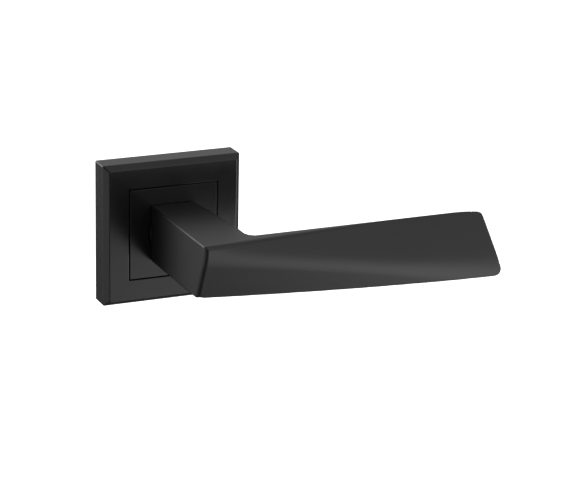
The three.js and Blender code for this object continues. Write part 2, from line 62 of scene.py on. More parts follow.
def box_mm(node):
    """A CAD node's lowest and highest corners as arrays in millimetres."""
    low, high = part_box(node)
    return np.array(low) / MM, np.array(high) / MM


def depths(node):
    """A CAD node's back and front, as depths out of the door face in millimetres."""
    low, high = box_mm(node)
    return -high[1], -low[1]


ROSE_HALF = box_mm("rose_cover")[1][0]
ROSE_DEPTH = depths("rose_cover")[1]
INSERT_FLANGE_HALF = box_mm("rose_insert")[1][0]
INSERT_BACK = depths("rose_insert")[0]
LEVER_BACK = depths("lever")[0]
SPINDLE_HALF = box_mm("spindle")[1][0]
SPINDLE_BACK, SPINDLE_FRONT = depths("spindle")
POST_BACK, POST_FRONT = depths("bolt_post_upper")
POST_HEAD_RADIUS = box_mm("bolt_post_upper")[1][0]
BUSH_BACK, BUSH_FRONT = depths("bearing_bush")
BUSH_FLANGE_RADIUS = box_mm("bearing_bush")[1][0]
WASHER_BACK, WASHER_FRONT = depths("thrust_washer")
WASHER_RADIUS = box_mm("thrust_washer")[1][0]
GRUB_LOW, GRUB_HIGH = box_mm("grub_screw")[0][2], box_mm("grub_screw")[1][2]
GRUB_RADIUS = box_mm("grub_screw")[1][0]
SCREW_BACK, SCREW_FRONT = depths("back_plate_screw_upper_right")
SPRING_BACK, SPRING_FRONT = depths("return_spring")

# Rose details, in millimetres
CHAMFER_START = 7.75
CHAMFER_INSET = 1.85
COVER_WALL = 1.5
COVER_FRONT = 1.4
COVER_ROUNDING = (0.12, 0.55, 0.45, 0.2, 0.1, 0.4, 0.2)
COVER_CORNER = 0.5
WINDOW_CORNER = 0.3
WINDOW_HALF = 16.9
GROOVE = 0.42
INSERT_STEP = 0.2
INSERT_ROUNDING = (0, 0.15, 0.15, 0.1, 0.12, 0)
HOLE_ROUNDING = (0, 0.35, 0.1, 0.1, 0.15, 0)
HOLE_RUN_IN = 3
INSERT_HOLE = 9.4
COUNTERBORE = 11.4
COUNTERBORE_DEPTH = 8.6

# Hidden parts' details, in millimetres
POST_OFFSET = 19
POST_RADIUS = 3.1
POST_HEAD = 0.8
POST_THREAD_END = 4
M4_CORE, M4_PITCH = 1.65, 0.7
M4_THREAD_HEIGHT = 0.35
POST_THREAD_START = 0.6
POST_THREAD_RUN_OUT = 0.8
POST_FRONT_DIMPLE = 0.5
POST_ROUNDING = (0.35, 0.45, 0.15, 0.1, 0.2, 0)
SCREW_OFFSET = 20
SCREW_HEAD_RADIUS = 2.1
SCREW_SHANK_RADIUS = 1.2
SCREW_PITCH = 0.8
SCREW_TIP_RADIUS = 0.4
SCREW_CHAMFER = {"across": 0.12, "along": 0.1}
SCREW_HEAD_HEIGHT = 0.85
SCREW_THREAD = {"start": 1, "root": -0.3, "crest": 0.05, "run_out": 0.3}
SCREW_SLOT = {"half_length": 1.3, "half_width": 0.25, "depth": 0.45}
SPIGOT_RADIUS = 8.4
RUNNING_GAP = 0.3
BUSH_TUBE_RADIUS = 10.3
BUSH_FLANGE = 0.9
GRUB_HEX = {"radius": 1.6, "depth": 2.6}
GRUB_PITCH = 0.8
GRUB_THREAD = {"height": 0.35, "start": 0.35, "run_out": 0.7}
SPINDLE_CHAMFER = 0.9
SPINDLE_EDGE = 0.35
SPRING_RADIUS = 13.2
WIRE_RADIUS = 0.55
SPRING_LEG_REACH = 17.2
FIXED_LEG_ANGLE = 206
MOVING_LEG_ANGLE = -372
SPRING_LEG_BEND = 7
SPRING_TURN_OUT = 1.6
SPRING_STEPS = 120
WIRE_AROUND = 16
WIRE_END_ROUNDING = 0.1

# Lever details, in millimetres
COLLAR_RADIUS = 9.1
COLLAR_BACK = 8.5
COLLAR_FRONT = 9.6
SPIGOT_FLAT = 7.5
SPIGOT_FLAT_END = 5.9
CIRCLIP_GROOVE = {"radius": 7.7, "middle": 3.45, "half": 0.6}
NECK_BACK = 10.1
NECK_LEFT = -8.6
NECK_RIGHT = 10.2
NECK_HALF_HEIGHT = 10.45
NECK_EDGE = 0.5
NECK_RIGHT_EDGE = 1.8
NECK_ROOT_EDGE = 2.6
NECK_ROOT = 14
NECK_EDGE_FADE = 32
NECK_FILLET = 4.0
GRIP_TOP = NECK_HALF_HEIGHT
GRIP_LOW = -13.2
GRIP_BACK_TOP = 54.4
GRIP_BACK_BOTTOM = 53
GRIP_CORNER_DEPTH = 61.3
GRIP_EDGE = 0.6
GRIP_BACK_EDGE = 0.2
GRIP_START = 44
GRIP_FULL = 53.5
UPPER_FACET_RUN = 72
UPPER_FACET_CURVE = 1.15
RIDGE_DEPTH = 61.9
RIDGE_START_Z = 7.8
RIDGE_SLOPE = -0.167
RIDGE_BLEND = 4.0
FACE_EDGE = 0.3
FACE_EDGE_EXTRA = 1.2
FACE_EDGE_FADE_X = (5, 70)
FACE_EDGE_RISE_Z = (-8, 8)
LEFT_EDGE = 1.3
LEFT_EDGE_FADE_X = (-7.2, -5)
FACE_SLOPE_CORRECTION = 0.93
END_EDGE = 0.3
SOCKET_EDGE = 0.25
BOTTOM_START_Z = -10.3
BOTTOM_START_DEPTH = 53.5
BOTTOM_END_DEPTH = 61.4
TIP_X = 106.5
TIP_SLANT = 6.9
TIP_DROOP = 0.85
TIP_DROOP_START = 88.5
TIP_UPPER_RADIUS = 1.2
TIP_LOWER_RADIUS = 3.2
SOCKET_HALF = SPINDLE_HALF + 0.3
SOCKET_DEPTH = 31
GRUB_DEPTH = 20
GRUB_HOLE_RADIUS = 3.0
NET_STEP = 0.5

# ---------------------------------------------------------------- mesh tools


def mesh_object(name, points_mm, faces):
    """A smooth-shaded object from points in millimetres."""
    mesh = bpy.data.meshes.new(name)
    points = np.asarray(points_mm, float) * MM
    mesh.from_pydata(points.tolist(), [], faces)
    mesh.validate()
    mesh.shade_smooth()
    made = bpy.data.objects.new(name, mesh)
    bpy.context.scene.collection.objects.link(made)
    return made


def face_out(made):
    """Turns every face of a closed mesh outwards."""
    work = bmesh.new()
    work.from_mesh(made.data)
    bmesh.ops.recalc_face_normals(work, faces=work.faces)
    work.to_mesh(made.data)
    work.free()
    made.data.shade_smooth()
    return made


def even_shading(made):
    """Keeps broad faces flat next to narrow rounded edges."""
    modifier = made.modifiers.new("even_shading", "WEIGHTED_NORMAL")
    modifier.mode = "FACE_AREA"
    modifier.weight = 60
    return made


def skin(name, rings, closed=False):
    """Quads over rings of equally many points. Unless the rings close up, each end gets a cap."""
    rings = np.asarray(rings, float)
    count, around = rings.shape[:2]
    faces = []
    for ring in range(count if closed else count - 1):
        here = ring * around
        there = ((ring + 1) % count) * around
        for i in range(around):
            j = (i + 1) % around
            faces.append((here + i, here + j, there + j, there + i))
    if not closed:
        faces.append(tuple(range(around))[::-1])
        faces.append(tuple((count - 1) * around + i for i in range(around)))
    return face_out(mesh_object(name, rings.reshape(-1, 3), faces))


def rounded(points, radii, steps=5, closed=True):
    """A 2-D outline whose corners become arcs of the given radii."""
    points = [Vector(p) for p in points]
    outline = []
    for i, corner in enumerate(points):
        ends = not closed and i in (0, len(points) - 1)
        if radii[i] <= 0 or ends:
            outline.append(corner)
            continue
        before = (points[i - 1] - corner).normalized()
        after = (points[(i + 1) % len(points)] - corner).normalized()
        half = before.angle(after) / 2
        reach = radii[i] / math.tan(half)
        start = corner + before * reach
        centre = corner + (before + after).normalized() * (radii[i] / math.sin(half))
        sweep = math.pi - 2 * half
        turn = 1 if before.x * after.y - before.y * after.x < 0 else -1
        arm = start - centre
        for k in range(steps + 1):
            angle = turn * sweep * k / steps
            turned = Matrix.Rotation(angle, 2) @ arm
            outline.append(centre + turned)
    return [(p.x, p.y) for p in outline]


def square_ring(half, corner, depth, side_points=24, corner_steps=6):
    """A rounded square at one depth, with points along its sides as well as round its corners."""
    flat = half - corner
    ring = []
    for quarter in range(4):
        spin = Matrix.Rotation(quarter * math.pi / 2, 2)
        side = [Vector((half, flat * (2 * k / side_points - 1))) for k in range(side_points)]
        arc = []
        for k in range(corner_steps):
            angle = math.pi / 2 * k / corner_steps
            arc.append(Vector((flat + corner * math.cos(angle), flat + corner * math.sin(angle))))
        for point in side + arc:
            place = spin @ point
            ring.append((place.x, -depth, place.y))
    return ring


def circle_ring(radius, depth, count, centre=(0, 0), start=-math.pi / 4):
    """A circle at one depth, from a given angle, so that it lines up with a square ring."""
    angles = [start + TURN * k / count for k in range(count)]
    return [
        (centre[0] + radius * math.cos(a), -depth, centre[1] + radius * math.sin(a)) for a in angles
    ]


# ---------------------------------------------------------------- implicit surface for the lever


def step_up(value, low, high):
    """0 below low, 1 above high and smooth between."""
    t = np.clip((value - low) / (high - low), 0, 1)
    return t * t * (3 - 2 * t)


def meet(a, b, radius):
    """The space inside both a and b, with a convex edge of that radius."""
    rise = np.hypot(np.maximum(radius + a, 0), np.maximum(radius + b, 0))
    return np.minimum(-radius, np.maximum(a, b)) + rise


def merge(a, b, radius):
    """The space inside either a or b, with a concave fillet of that radius."""
    return -meet(-a, -b, radius)


def grip_share(x):
    """0 at the neck's left side and 1 at the tip."""
    return (x - NECK_LEFT) / (TIP_X - NECK_LEFT)


def grip_bottom(x):
    """Height of the grip's lower edge, which drops and levels out towards the tip."""
    return BOTTOM_START_Z - (BOTTOM_START_Z - GRIP_LOW) * (1 - (1 - grip_share(x)) ** 2)


def back_depth(z):
    """Depth of the grip's back, which leans a little from its top to its bottom."""
    share = (GRIP_TOP - z) / (GRIP_TOP - BOTTOM_START_Z)
    return GRIP_BACK_TOP + (GRIP_BACK_BOTTOM - GRIP_BACK_TOP) * share


def front_depth(x, z):
    """Depth of the grip's face: an upper and a lower facet that meet in a soft ridge."""
    along = x - NECK_LEFT
    strip = np.clip(1 - along / UPPER_FACET_RUN, 0, 1) ** UPPER_FACET_CURVE
    thin = GRIP_BACK_TOP + GRIP_EDGE
    top = thin + (GRIP_CORNER_DEPTH - thin) * strip
    low = BOTTOM_START_DEPTH + (BOTTOM_END_DEPTH - BOTTOM_START_DEPTH) * grip_share(x)
    ridge_z = RIDGE_START_Z + RIDGE_SLOPE * along
    bottom_z = grip_bottom(x)
    upper = RIDGE_DEPTH + (z - ridge_z) * (top - RIDGE_DEPTH) / (GRIP_TOP - ridge_z)
    lower = RIDGE_DEPTH + (ridge_z - z) * (low - RIDGE_DEPTH) / (ridge_z - bottom_z)
    near = np.clip(1 - np.abs(upper - lower) / RIDGE_BLEND, 0, 1)
    return np.minimum(upper, lower) - near * near * RIDGE_BLEND / 4


def spigot_distance(x, depth, z):
    """The round part under the neck: a collar on the bush, and a spigot with two flats and a groove."""
    out = np.hypot(x, z)
    collar = np.maximum(out - COLLAR_RADIUS, np.maximum(COLLAR_BACK - depth, depth - COLLAR_FRONT))
    spigot = meet(out - SPIGOT_RADIUS, LEVER_BACK - depth, END_EDGE)
    spigot = np.maximum(spigot, depth - NECK_BACK - 1)
    spigot = np.maximum(spigot, np.minimum(np.abs(x) - SPIGOT_FLAT, SPIGOT_FLAT_END - depth))
    groove_ends = np.abs(depth - CIRCLIP_GROOVE["middle"]) - CIRCLIP_GROOVE["half"]
    groove = np.maximum(CIRCLIP_GROOVE["radius"] - out, groove_ends)
    return np.minimum(collar, np.maximum(spigot, -groove))


def lever_distance(x, y, z):
    """Signed distance to the lever, in millimetres: negative inside."""
    depth = -y
    in_grip = step_up(depth, GRIP_START, GRIP_FULL)
    to_back = back_depth(z) - depth
    droop_run = TIP_X - TIP_SLANT - TIP_DROOP_START
    droop = TIP_DROOP * (np.clip(x - TIP_DROOP_START, 0, None) / droop_run) ** 2
    low = -NECK_HALF_HEIGHT * (1 - in_grip) + grip_bottom(x) * in_grip
    top = z - GRIP_TOP + droop
    slant = TIP_SLANT / (GRIP_TOP - GRIP_LOW)
    tip = (x - TIP_X + slant * (z - GRIP_LOW)) / math.hypot(1, slant)
    outline = meet(meet(top, tip, TIP_UPPER_RADIUS), low - z, TIP_LOWER_RADIUS * in_grip + 0.01)
    right = merge(x - NECK_RIGHT, to_back, NECK_FILLET)
    on_neck = 1 - step_up(depth, NECK_EDGE_FADE, GRIP_BACK_BOTTOM - NECK_FILLET + 1)
    near_rose = 1 - step_up(depth, NECK_BACK, NECK_BACK + NECK_ROOT)
    right_edge = GRIP_BACK_EDGE + on_neck * (NECK_RIGHT_EDGE + NECK_ROOT_EDGE * near_rose)
    body = meet(meet(outline, right, right_edge), NECK_LEFT - x, NECK_EDGE)
    front = (depth - front_depth(x, z)) * FACE_SLOPE_CORRECTION
    near_neck = 1 - step_up(x, *FACE_EDGE_FADE_X)
    front_edge = FACE_EDGE + FACE_EDGE_EXTRA * near_neck * step_up(z, *FACE_EDGE_RISE_Z)
    front_edge = np.maximum(front_edge, LEFT_EDGE * (1 - step_up(x, *LEFT_EDGE_FADE_X)))
    body = meet(body, front, front_edge)
    body = meet(body, NECK_BACK - depth, END_EDGE)
    body = np.minimum(body, spigot_distance(x, depth, z))
    socket = np.maximum(np.maximum(np.abs(x), np.abs(z)) - SOCKET_HALF, depth - SOCKET_DEPTH)
    grub = np.maximum(np.hypot(x, depth - GRUB_DEPTH) - GRUB_HOLE_RADIUS, z)
    return meet(body, -np.minimum(socket, grub), SOCKET_EDGE)


def surface_net(distance, low, high, step):
    """Quads over the zero surface of a signed distance, one vertex in each grid cell it crosses."""
    axes = [np.arange(low[i] - 1.5 * step, high[i] + 2.5 * step, step) for i in range(3)]
    grid = np.meshgrid(*axes, indexing="ij")
    value = distance(*grid)
    inside = value < 0
    cells = tuple(n - 1 for n in value.shape)
    corner_sum = np.zeros(cells, int)
    for i in (0, 1):
        for j in (0, 1):
            for k in (0, 1):
                corner_sum += inside[i : i + cells[0], j : j + cells[1], k : k + cells[2]]
    crossed = (corner_sum > 0) & (corner_sum < 8)
    number = np.full(cells, -1)
    number[crossed] = np.arange(crossed.sum())
    centres = [axes[i][:-1] + step / 2 for i in range(3)]
    points = np.stack([centres[i][np.nonzero(crossed)[i]] for i in range(3)], 1)
    faces = []
    for axis in range(3):
        a, b = [k for k in range(3) if k != axis]
        here = [slice(None)] * 3
        there = [slice(None)] * 3
        here[axis], there[axis] = slice(None, -1), slice(1, None)
        change = inside[tuple(here)] != inside[tuple(there)]
        starts_inside = inside[tuple(here)]
        places = np.argwhere(change)
        flip = starts_inside[tuple(places.T)]
        corners = []
        for da, db in ((1, 1), (0, 1), (0, 0), (1, 0)):
            cell = places.copy()
            cell[:, a] -= da
            cell[:, b] -= db
            corners.append(number[tuple(cell.T)])
        quads = np.stack(corners, 1)
        if axis == 1:
            flip = ~flip
        quads[~flip] = quads[~flip][:, ::-1]
        faces.append(quads)
    return points, np.concatenate(faces)


def slope_of(distance, points, reach=0.02):
    """The gradient of a distance at some points."""
    slope = np.zeros_like(points)
    for axis in range(3):
        shift = np.zeros(3)
        shift[axis] = reach
        ahead = distance(*(points + shift).T)
        behind = distance(*(points - shift).T)
        slope[:, axis] = (ahead - behind) / (2 * reach)
    return slope


def onto_surface(distance, points, rounds):
    """Moves points onto the zero surface."""
    for _ in range(rounds):
        slope = slope_of(distance, points)
        size = np.maximum((slope * slope).sum(1), 0.05)
        points = points - slope * (distance(*points.T) / size)[:, None] * 0.9
    return points


def relaxed(points, faces, distance, rounds):
    """Evens out the vertices along the surface."""
    for _ in range(rounds):
        total = np.zeros_like(points)
        count = np.zeros(len(points))
        middle = points[faces].mean(1)
        for k in range(4):
            np.add.at(total, faces[:, k], middle)
            np.add.at(count, faces[:, k], 1)
        target = total / count[:, None]
        slope = slope_of(distance, points)
        unit = slope / np.maximum(np.linalg.norm(slope, axis=1), 1e-6)[:, None]
        move = target - points
        move -= unit * (move * unit).sum(1)[:, None]
        points = onto_surface(distance, points + 0.6 * move, 1)
    return points


# ---------------------------------------------------------------- pieces


def make_rose_cover():
    """The square shell of the rose, with a chamfered front and the insert's window."""
    inner = ROSE_HALF - COVER_WALL
    front_back = ROSE_DEPTH - COVER_FRONT
    corners = [
        (ROSE_HALF, 0),
        (ROSE_HALF, CHAMFER_START),
        (ROSE_HALF - CHAMFER_INSET, ROSE_DEPTH),
        (WINDOW_HALF, ROSE_DEPTH),
        (WINDOW_HALF, front_back),
        (inner, front_back),
        (inner, 0),
    ]
    rings = []
    for half, depth in rounded(corners, COVER_ROUNDING):
        corner = np.interp(half, [WINDOW_HALF, ROSE_HALF], [WINDOW_CORNER, COVER_CORNER])
        rings.append(square_ring(half, corner, depth))
    cover = skin("rose_cover_shell", rings, closed=True)
    return even_shading(cover)


def make_rose_insert():
    """The flush plate in the window, with a flange behind the cover and a counterbored round hole."""
    face_half = WINDOW_HALF - GROOVE
    step_depth = ROSE_DEPTH - COVER_FRONT - INSERT_STEP
    outer = rounded(
        [
            (COUNTERBORE, INSERT_BACK),
            (INSERT_FLANGE_HALF, INSERT_BACK),
            (INSERT_FLANGE_HALF, step_depth),
            (face_half, step_depth),
            (face_half, ROSE_DEPTH),
            (INSERT_HOLE, ROSE_DEPTH),
        ],
        INSERT_ROUNDING,
        closed=False,
    )[1:-1]
    rings = [square_ring(half, WINDOW_CORNER, depth) for half, depth in outer]
    count = len(rings[0])
    hole = rounded(
        [
            (INSERT_HOLE + HOLE_RUN_IN, ROSE_DEPTH),
            (INSERT_HOLE, ROSE_DEPTH),
            (INSERT_HOLE, COUNTERBORE_DEPTH),
            (COUNTERBORE, COUNTERBORE_DEPTH),
            (COUNTERBORE, INSERT_BACK),
            (COUNTERBORE + HOLE_RUN_IN, INSERT_BACK),
        ],
        HOLE_ROUNDING,
        closed=False,
    )
    for radius, depth in hole:
        rings.append(circle_ring(radius, depth, count))
    return even_shading(skin("rose_insert_plate", rings, closed=True))


def make_lever():
    """The lever's surface as quads, relaxed along it and shaded by its exact slope."""
    low, high = box_mm("lever")
    step = NET_STEP
    points, faces = surface_net(lever_distance, low, high, step)
    points = onto_surface(lever_distance, points, 5)
    points = relaxed(points, faces, lever_distance, 4)
    points = onto_surface(lever_distance, points, 3)
    body = mesh_object("lever_casting", points, faces.tolist())
    slope = slope_of(lever_distance, points)
    unit = slope / np.maximum(np.linalg.norm(slope, axis=1), 1e-6)[:, None]
    body.data.normals_split_custom_set_from_vertices(unit.tolist())
    return body


def through_door(centre=(0, 0)):
    """Places a radius, an angle and a depth about an axis that goes through the door."""
    return lambda radius, angle, depth: (
        centre[0] + radius * math.cos(angle),
        -depth,
        centre[1] + radius * math.sin(angle),
    )


def upright(depth):
    """Places a radius, an angle and a height about an upright axis at some depth."""
    return lambda radius, angle, height: (
        radius * math.cos(angle),
        -depth + radius * math.sin(angle),
        height,
    )


def turned(name, place, profile, count=48, closed=False):
    """A lathe piece from (radius, place along the axis). A radius can be a function of the angle."""
    angles = [TURN * k / count for k in range(count)]
    rings = []
    for radius, along in profile:
        wide = radius if callable(radius) else lambda angle, fixed=radius: fixed
        rings.append([place(wide(angle), angle, along) for angle in angles])
    return even_shading(skin(name, rings, closed))


def threaded(core, crest, low, high, pitch, steps_per_turn=6):
    """Profile entries for a helical thread between two places along an axis."""
    count = int((high - low) / pitch * steps_per_turn)
    entries = []
    for k in range(count + 1):
        along = low + (high - low) * k / count
        fade = min(1, k / steps_per_turn, (count - k) / steps_per_turn)

        def radius(angle, along=along, fade=fade):
            turn = (along / pitch - angle / TURN) % 1
            return core + (crest - core) * fade * (1 - abs(2 * turn - 1))

        entries.append((radius, along))
    return entries


def hexagon(radius):
    """A hexagonal hole's radius by angle, from its half width across the flats."""
    return lambda angle: radius / math.cos((angle % (TURN / 6)) - TURN / 12)


def make_bolt_post(side, height):
    """A headed post with an M4 thread inside its back end."""
    profile = [(M4_CORE * 0.5, POST_THREAD_END), (M4_CORE, POST_THREAD_END)]
    crest = M4_CORE + M4_THREAD_HEIGHT
    low, high = POST_BACK + POST_THREAD_START, POST_THREAD_END - POST_THREAD_RUN_OUT
    profile += threaded(M4_CORE, crest, low, high, M4_PITCH)[::-1]
    outside = [
        (M4_CORE, POST_BACK),
        (POST_RADIUS, POST_BACK),
        (POST_RADIUS, POST_FRONT - POST_HEAD),
        (POST_HEAD_RADIUS, POST_FRONT - POST_HEAD),
        (POST_HEAD_RADIUS, POST_FRONT),
        (POST_FRONT_DIMPLE, POST_FRONT),
    ]
    profile += rounded(outside, POST_ROUNDING, steps=3)
    return turned(f"bolt_post_{side}_threaded", through_door((0, height)), profile, 40)


def make_screw(corner, x, z):
    """A countersunk screw with a cross slot, whose thread goes forward into the base."""
    profile = [
        (SCREW_TIP_RADIUS, SCREW_BACK),
        (SCREW_HEAD_RADIUS - SCREW_CHAMFER["across"], SCREW_BACK),
        (SCREW_HEAD_RADIUS, SCREW_BACK + SCREW_CHAMFER["along"]),
        (SCREW_SHANK_RADIUS, SCREW_BACK + SCREW_HEAD_HEIGHT),
    ]
    root, crest = SCREW_SHANK_RADIUS + SCREW_THREAD["root"], SCREW_SHANK_RADIUS + SCREW_THREAD["crest"]
    low, high = SCREW_BACK + SCREW_THREAD["start"], SCREW_FRONT - SCREW_THREAD["run_out"]
    profile += threaded(root, crest, low, high, SCREW_PITCH)
    profile += [(SCREW_TIP_RADIUS, SCREW_FRONT)]
    screw = turned(f"screw_{corner}", through_door((x, z)), profile, 36)
    long, wide = SCREW_SLOT["half_length"], SCREW_SLOT["half_width"]
    floor = SCREW_BACK + SCREW_SLOT["depth"]
    for half_x, half_z in ((long, wide), (wide, long)):
        cutter = block("cutter", (x - half_x, z - half_z), (x + half_x, z + half_z), floor - 2, floor)
        cut_out(screw, cutter)
    return screw


def block(name, low, high, back, front):
    """A box between two corners of the door plane and two depths, for cutting."""
    ring = [(low[0], low[1]), (high[0], low[1]), (high[0], high[1]), (low[0], high[1])]
    return skin(name, [[(x, -depth, z) for x, z in ring] for depth in (back, front)])


def cut_out(made, cutter):
    """Takes the cutter away from a piece, for good."""
    modifier = made.modifiers.new("cut", "BOOLEAN")
    modifier.operation = "DIFFERENCE"
    modifier.solver = "EXACT"
    modifier.object = cutter
    bpy.ops.object.select_all(action="DESELECT")
    bpy.context.view_layer.objects.active = made
    bpy.ops.object.modifier_move_to_index(modifier="cut", index=0)
    bpy.ops.object.modifier_apply(modifier="cut")
    bpy.data.objects.remove(cutter)


def make_spindle():
    """An 8 mm bar with eased long edges and chamfered ends."""
    narrow = SPINDLE_HALF - SPINDLE_CHAMFER
    ends = [(narrow, SPINDLE_BACK), (SPINDLE_HALF, SPINDLE_BACK + SPINDLE_CHAMFER)]
    ends += [(SPINDLE_HALF, SPINDLE_FRONT - SPINDLE_CHAMFER), (narrow, SPINDLE_FRONT)]
    rings = [square_ring(half, SPINDLE_EDGE, depth, 6, 4) for half, depth in ends]
    return even_shading(skin("spindle_bar", rings))


def make_bush():
    """A tube with a flange at the front, bored to clear the spigot."""
    bore = SPIGOT_RADIUS + RUNNING_GAP
    flange_back = BUSH_FRONT - BUSH_FLANGE
    corners = [
        (bore, BUSH_BACK),
        (BUSH_TUBE_RADIUS, BUSH_BACK),
        (BUSH_TUBE_RADIUS, flange_back),
        (BUSH_FLANGE_RADIUS, flange_back),
        (BUSH_FLANGE_RADIUS, BUSH_FRONT),
        (bore, BUSH_FRONT),
    ]
    outline = rounded(corners, [0.15, 0.25, 0.05, 0.15, 0.25, 0.2], steps=3)
    return turned("bush_moulding", through_door(), outline, 72, closed=True)


def make_washer():
    """A flat ring with eased edges."""
    inner = SPIGOT_RADIUS + RUNNING_GAP
    corners = [(inner, WASHER_BACK), (WASHER_RADIUS, WASHER_BACK)]
    corners += [(WASHER_RADIUS, WASHER_FRONT), (inner, WASHER_FRONT)]
    outline = rounded(corners, [0.06, 0.14, 0.1, 0.06], steps=3)
    return turned("washer_ring", through_door(), outline, 72, closed=True)


def make_grub_screw():
    """A socket set screw that points up at the spindle, with its hexagon at the bottom."""
    hexagonal = hexagon(GRUB_HEX["radius"])
    floor = GRUB_LOW + GRUB_HEX["depth"]
    profile = [(0.3, floor + 0.5), (hexagonal, floor), (hexagonal, GRUB_LOW + 0.15)]
    profile += [(GRUB_HEX["radius"] + 0.3, GRUB_LOW), (GRUB_RADIUS - 0.4, GRUB_LOW)]
    low, high = GRUB_LOW + GRUB_THREAD["start"], GRUB_HIGH - GRUB_THREAD["run_out"]
    root = GRUB_RADIUS - GRUB_THREAD["height"]
    profile += threaded(root, GRUB_RADIUS, low, high, GRUB_PITCH, 8)
    profile += [(GRUB_RADIUS - 0.9, GRUB_HIGH - 0.1), (GRUB_RADIUS - 1.2, GRUB_HIGH)]
    profile += [(0.3, GRUB_HIGH - 0.3)]
    return turned("grub_screw_threaded", upright(GRUB_DEPTH), profile, 60)


def spring_path():
    """The spring's centre line: a leg, the coil and the other leg."""
    back, front = SPRING_BACK + WIRE_RADIUS, SPRING_FRONT - WIRE_RADIUS

    def at(radius, degrees, depth):
        angle = math.radians(degrees)
        return Vector((radius * math.cos(angle), -depth, radius * math.sin(angle)))

    turn_out = SPRING_RADIUS + SPRING_TURN_OUT
    points = [at(SPRING_LEG_REACH, FIXED_LEG_ANGLE, back), at(turn_out, FIXED_LEG_ANGLE, back)]
    first = FIXED_LEG_ANGLE - SPRING_LEG_BEND
    last = MOVING_LEG_ANGLE + SPRING_LEG_BEND
    for k in range(SPRING_STEPS + 1):
        share = k / SPRING_STEPS
        points.append(at(SPRING_RADIUS, first + (last - first) * share, back + (front - back) * share))
    points += [at(turn_out, MOVING_LEG_ANGLE, front), at(SPRING_LEG_REACH, MOVING_LEG_ANGLE, front)]
    return points


def make_spring():
    """Round wire swept along the path, with slightly rounded ends."""
    points = spring_path()
    rings = []
    for k, point in enumerate(points):
        ahead = points[min(k + 1, len(points) - 1)] - points[max(k - 1, 0)]
        ahead.normalize()
        through = Vector((0, 1, 0))
        side = ahead.cross(through).normalized()
        up = side.cross(ahead)
        bend = 1.0
        if 0 < k < len(points) - 1:
            before, after = point - points[k - 1], points[k + 1] - point
            bend = 1 / max(math.cos(before.angle(after) / 2), 0.7)
        ring = []
        for i in range(WIRE_AROUND):
            angle = TURN * i / WIRE_AROUND
            arm = side * (bend * math.cos(angle)) + up * math.sin(angle)
            ring.append(tuple(point + arm * WIRE_RADIUS))
        rings.append(ring)
    spring = skin("spring_wire", rings)
    bevel = spring.modifiers.new("end_rounding", "BEVEL")
    bevel.width = WIRE_END_ROUNDING * MM
    bevel.segments = 2
    bevel.angle_limit = math.radians(60)
    return spring


def eased(node, width):
    """A carried-over CAD node with its edges rounded."""
    clean = node.modifiers.new("flat_faces", "DECIMATE")
    clean.decimate_type = "DISSOLVE"
    clean.angle_limit = math.radians(1)
    bevel = node.modifiers.new("edges", "BEVEL")
    bevel.width = width * MM
    bevel.segments = 2
    bevel.limit_method = "ANGLE"
    bevel.angle_limit = math.radians(35)
    bevel.use_clamp_overlap = True
    return even_shading(node)


def stand_in(made, body, node):
    """A finer piece that takes a CAD node's place."""
    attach(made, body)
    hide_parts(node)
    return made


SIDES = (("upper", POST_OFFSET), ("lower", -POST_OFFSET))
CORNERS = (
    ("upper_right", 1, 1),
    ("upper_left", -1, 1),
    ("lower_left", -1, -1),
    ("lower_right", 1, -1),
)

cover = stand_in(make_rose_cover(), "rose", "rose_cover")
insert = stand_in(make_rose_insert(), "rose", "rose_insert")
casting = stand_in(make_lever(), "lever", "lever")
posts = []
for side, z in SIDES:
    post = make_bolt_post(side, z)
    posts.append(stand_in(post, "rose", f"bolt_post_{side}"))
screws = []
for corner, x, z in CORNERS:
    screw = make_screw(corner, x * SCREW_OFFSET, z * SCREW_OFFSET)
    screws.append(stand_in(screw, "rose", f"back_plate_screw_{corner}"))
bush = stand_in(make_bush(), "rose", "bearing_bush")
spindle = stand_in(make_spindle(), "lever", "spindle")
washer = stand_in(make_washer(), "lever", "thrust_washer")
grub_screw = stand_in(make_grub_screw(), "lever", "grub_screw")

spring = make_spring()
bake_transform(spring)
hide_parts("return_spring")

nodes = frame["nodes"]
base_plate = eased(nodes["base_plate"], 0.25)
back_plate = eased(nodes["back_plate"], 0.12)
driver = eased(nodes["driver_plate"], 0.12)
circlip = eased(nodes["circlip"], 0.1)
clips = [eased(nodes[f"cover_clip_{side}"], 0.08) for side in ("top", "right", "bottom", "left")]


# ---------------------------------------------------------------- materials


EDGE_REACH = 0.3
DRIFT_SCALE = 70
PATCH_SCALE = 260


def new_material(name):
    """A material with one shader, and its parts."""
    material = bpy.data.materials.new(name)
    material.use_nodes = True
    nodes = material.node_tree.nodes
    nodes.clear()
    out = nodes.new("ShaderNodeOutputMaterial")
    shader = nodes.new("ShaderNodeBsdfPrincipled")
    material.node_tree.links.new(shader.outputs["BSDF"], out.inputs["Surface"])
    return material, nodes, material.node_tree.links, shader


def mapped(links, nodes, value, low, high, source=(0, 1)):
    """A value rescaled to run from low to high."""
    ranged = nodes.new("ShaderNodeMapRange")
    for socket, number in zip(("From Min", "From Max", "To Min", "To Max"), (*source, low, high)):
        ranged.inputs[socket].default_value = number
    links.new(value, ranged.inputs["Value"])
    return ranged.outputs["Result"]


def noise(links, nodes, place, scale, detail=3, stretch=(1, 1, 1)):
    """Noise at so many features a metre, stretched along the axes."""
    spread = nodes.new("ShaderNodeMapping")
    spread.inputs["Scale"].default_value = stretch
    links.new(place, spread.inputs["Vector"])
    texture = nodes.new("ShaderNodeTexNoise")
    texture.inputs["Scale"].default_value = scale
    texture.inputs["Detail"].default_value = detail
    links.new(spread.outputs["Vector"], texture.inputs["Vector"])
    return texture.outputs["Fac"]


